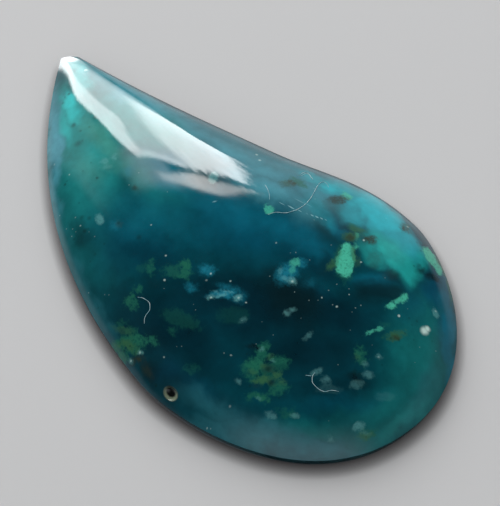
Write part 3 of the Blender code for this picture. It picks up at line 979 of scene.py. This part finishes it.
def add_window():
    """The window: a lamp that is seen only in the polish, with curtains brighter than its middle.

    Its lines are curved, as old glass and hanging curtains are, and above it runs a narrow fanlight.
    """
    left, right = (WINDOW_DISTANCE * across for across in WINDOW_ACROSS)
    low, high = (WINDOW_DISTANCE * up for up in WINDOW_UP)
    lamp = add_lamp("window", right - left, high - low, 1.0)
    out = away(WINDOW_TURN, 0.0)
    rightwards = Vector((out.y, -out.x, 0.0))
    middle = Vector((0.0, 0.0, (low + high) / 2))
    lamp.location = out * WINDOW_DISTANCE + rightwards * (left + right) / 2 + middle
    lamp.rotation_euler = (-out).to_track_quat("-Z", "Y").to_euler()
    lamp.visible_diffuse = False

    lamp.data.use_nodes = True
    graph = Graph(lamp.data.node_tree)

    def beyond(value, line, soft):
        """1 where the value lies past the line."""
        return graph.span(graph.math("SUBTRACT", value, line), -soft, soft)

    def below(value, line, soft):
        """1 where the value lies short of the line."""
        return graph.span(graph.math("SUBTRACT", value, line), soft, -soft)

    place = graph.nodes.new("ShaderNodeNewGeometry").outputs["Position"]
    across = graph.vector("DOT_PRODUCT", place, tuple(rightwards / WINDOW_DISTANCE))
    up = graph.vector("DOT_PRODUCT", place, (0.0, 0.0, 1 / WINDOW_DISTANCE))
    flat = graph.nodes.new("ShaderNodeCombineXYZ")
    graph.feed(flat.inputs[0], across)
    graph.feed(flat.inputs[1], up)
    flat = flat.outputs[0]
    wander = graph.span(graph.noise(flat, 30.0, detail=3.0), 0.0, 1.0, -0.014, 0.014, smooth=False)
    across = graph.plus(across, wander)
    streaks = graph.noise(graph.vector("MULTIPLY", flat, (70.0, 7.0, 0.0)), 1.0, detail=2.0)
    ragged = graph.times(graph.math("SUBTRACT", streaks, 0.5), graph.span(across, -0.15, 0.4, 0.03, 0.2))

    # The opening, and what is seen through it.
    head = graph.plus(graph.curve(across, HEAD), ragged)
    ragged_side = graph.plus(across, graph.times(ragged, 0.3))
    opening = graph.times(
        beyond(across, graph.curve(up, LEFT_SIDE), 0.014),
        below(ragged_side, graph.curve(up, RIGHT_SIDE), 0.016),
        below(up, head, 0.012),
    )
    from_the_left = graph.math("MAXIMUM", graph.plus(across, 0.25), 0.0)
    dimming = graph.times(from_the_left, graph.span(up, -0.1, 0.55, 12.0, 0.0))
    level = graph.math("SUBTRACT", PANE, dimming)
    level = graph.fade(below(across, graph.curve(up, LEFT_CURTAIN), 0.04), level, LEFT_CURTAIN_GLOW)
    level = graph.fade(beyond(across, graph.curve(up, RIGHT_CURTAIN), 0.08), level, RIGHT_CURTAIN_GLOW)
    rail = graph.times(
        beyond(up, graph.math("SUBTRACT", head, 0.05), 0.014), graph.span(across, 0.12, 0.22, 1.0, 0.0)
    )
    level = graph.fade(rail, level, RAIL_GLOW)
    level = graph.times(level, graph.span(up, -0.3, 0.1, 0.55, 1.0), opening)

    # The fanlight above it, the haze to its left, and the streaks in all of the glass.
    foot = graph.plus(graph.curve(across, FANLIGHT_FOOT), graph.times(ragged, 0.7))
    fanlight = graph.times(beyond(up, foot, 0.02), below(up, graph.curve(across, FANLIGHT_HEAD), 0.025))
    fanlight = graph.times(fanlight, graph.times(graph.curve(across, FANLIGHT_GLOW), FANLIGHT))
    haze = graph.times(
        graph.times(graph.span(across, -0.58, -0.25), graph.span(across, 0.0, -0.08)),
        graph.times(graph.span(up, 1.0, 1.1), graph.span(up, 1.42, 1.3)),
        HAZE,
    )
    level = graph.math("MAXIMUM", graph.math("MAXIMUM", level, fanlight), haze)
    level = graph.times(level, graph.span(streaks, 0.25, 0.75, 0.88, 1.12, smooth=False))
    emission = lamp.data.node_tree.nodes["Emission"]
    graph.feed(emission.inputs["Color"], graph.mix(graph.span(fanlight, 0.0, 2.0), DAYLIGHT, WARM_LIGHT))
    graph.feed(emission.inputs["Strength"], level)


def add_softbox(name, turn, rise, wide, high, radiance):
    """A soft light at that direction from the stone, not seen in the polish; its sizes are in degrees."""
    sizes = [2 * SOFTBOX_DISTANCE * math.tan(math.radians(angle / 2)) for angle in (wide, high)]
    lamp = add_lamp(name, *sizes, radiance)
    lamp.location = away(turn, rise) * SOFTBOX_DISTANCE
    lamp.rotation_euler = (-lamp.location).to_track_quat("-Z", "Y").to_euler()
    lamp.visible_glossy = False


def add_lamp(name, wide, high, radiance):
    """A rectangular area light of that size in metres."""
    data = bpy.data.lights.new(name, "AREA")
    data.shape = "RECTANGLE"
    data.size = wide
    data.size_y = high
    data.energy = radiance * math.pi * wide * high
    lamp = bpy.data.objects.new(name, data)
    bpy.context.collection.objects.link(lamp)
    lamp.visible_camera = False
    return lamp


# What else of the room the polish mirrors: turns over which it comes in, turns over which it goes,
# rises over which it fades upwards, and its radiance. The turns are from the camera's heading.
ROOM = [
    ((-66.0, -61.0), (-48.0, -43.0), (24.0, 45.0), 0.55),
    ((6.0, 11.0), (13.0, 19.0), (22.0, 42.0), 0.6),
    ((10.0, 18.0), (40.0, 50.0), (22.0, 48.0), 0.42),
    ((66.0, 80.0), (150.0, 166.0), (4.0, 30.0), 0.14),
    ((138.0, 166.0), (190.0, 191.0), (4.0, 44.0), 0.8),
    ((-191.0, -190.0), (-166.0, -138.0), (4.0, 44.0), 0.8),
]

# The surface that the stone lies on, as the polish mirrors it from below the horizon: its radiance by the
# turn, in shares of half a turn. It is drawn here because the floor itself isn't mirrored.
BOARD = [
    (-1.0, 0.03), (-0.83, 0.05), (-0.7, 0.25), (-0.6, 0.4), (-0.48, 0.5), (-0.4, 0.95), (-0.32, 0.95),
    (-0.22, 0.6), (0.0, 0.53), (0.17, 0.55), (0.3, 0.35), (0.45, 0.18), (0.62, 0.1), (0.75, 0.06),
    (1.0, 0.03),
]

# The plain pale backdrop that the camera sees past the floor, and the tint of the room's light.
BACKDROP = 0.55
ROOM_TINT = (0.9, 0.95, 1.0, 1.0)


def add_world():
    """A dim room that is dark overhead, with paler walls beside the window and behind the camera."""
    world = bpy.data.worlds.new("studio")
    world.use_nodes = True
    graph = Graph(world.node_tree)
    ray = graph.nodes.new("ShaderNodeTexCoord").outputs["Generated"]
    rightwards = graph.vector("DOT_PRODUCT", ray, tuple(away(90.0, 0.0)))
    ahead = graph.vector("DOT_PRODUCT", ray, tuple(away(0.0, 0.0)))
    turn = graph.math("DEGREES", graph.math("ARCTAN2", rightwards, ahead))
    rise = graph.math("DEGREES", graph.math("ARCSINE", graph.vector("DOT_PRODUCT", ray, (0.0, 0.0, 1.0))))
    level = graph.span(rise, 30.0, 55.0, 0.04, 0.01)
    for comes, goes, fades, radiance in ROOM:
        wall = graph.times(graph.span(turn, *comes), graph.span(turn, *goes, 1.0, 0.0))
        level = graph.plus(level, graph.times(wall, graph.span(rise, *fades, radiance, 0.0)))
    board = graph.curve(graph.math("DIVIDE", turn, 180.0), BOARD, -1.0, 1.0)
    board = graph.times(board, graph.span(rise, -55.0, -30.0, 0.12, 1.0))
    level = graph.fade(graph.span(rise, -3.0, -12.0), level, board)
    seen = graph.nodes.new("ShaderNodeLightPath").outputs["Is Camera Ray"]
    level = graph.fade(seen, level, BACKDROP)
    background = world.node_tree.nodes["Background"]
    background.inputs["Color"].default_value = ROOM_TINT
    graph.feed(background.inputs["Strength"], level)
    bpy.context.scene.world = world


def add_lights():
    """The room and window that the polish mirrors, and two soft lights for the body colour."""
    add_world()
    add_window()
    add_softbox("key", -22.0, 48.0, 60.0, 50.0, 2.0)
    add_softbox("ceiling", 0.0, 90.0, 120.0, 120.0, 0.55)


FLOOR_COLOUR = (0.6, 0.6, 0.605, 1.0)
CONTACT_COLOUR = tone(36, 24, 27)
CONTACT_REACH = 0.001
CONTACT_POWER = 1.7


def add_floor():
    """The plain pale floor, with a thin dark line of contact shadow on the side away from the window."""
    bpy.ops.mesh.primitive_plane_add(size=3.0, location=(0.0, 0.0, -0.00001))
    floor = bpy.context.object
    floor.name = "floor"
    material, graph, shader = new_material("pale_floor")
    shader.inputs["Roughness"].default_value = 0.9
    near = graph.nodes.new("ShaderNodeAmbientOcclusion")
    near.samples = 16
    near.inputs["Distance"].default_value = CONTACT_REACH
    near.inputs["Normal"].default_value = away(-30.0, 22.0)
    open_sky = graph.math("POWER", near.outputs["AO"], CONTACT_POWER)
    graph.feed(shader.inputs["Base Color"], graph.mix(open_sky, CONTACT_COLOUR, FLOOR_COLOUR))
    floor.data.materials.append(material)
    floor.visible_glossy = False


def main():
    """The camera, lights and floor, then the stone and the lint on it."""
    bpy.context.scene.view_settings.view_transform = "Standard"
    add_camera()
    add_lights()
    add_floor()
    stone = build_stone()
    paint(stone.data)
    stone.data.materials.append(stone_material())
    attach(stone, "root")
    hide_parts("cabochon")
    lint = build_fibres()
    lint.data.materials.append(lint_material())
    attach(lint, "root")


main()

bpy.context.view_layer.update()
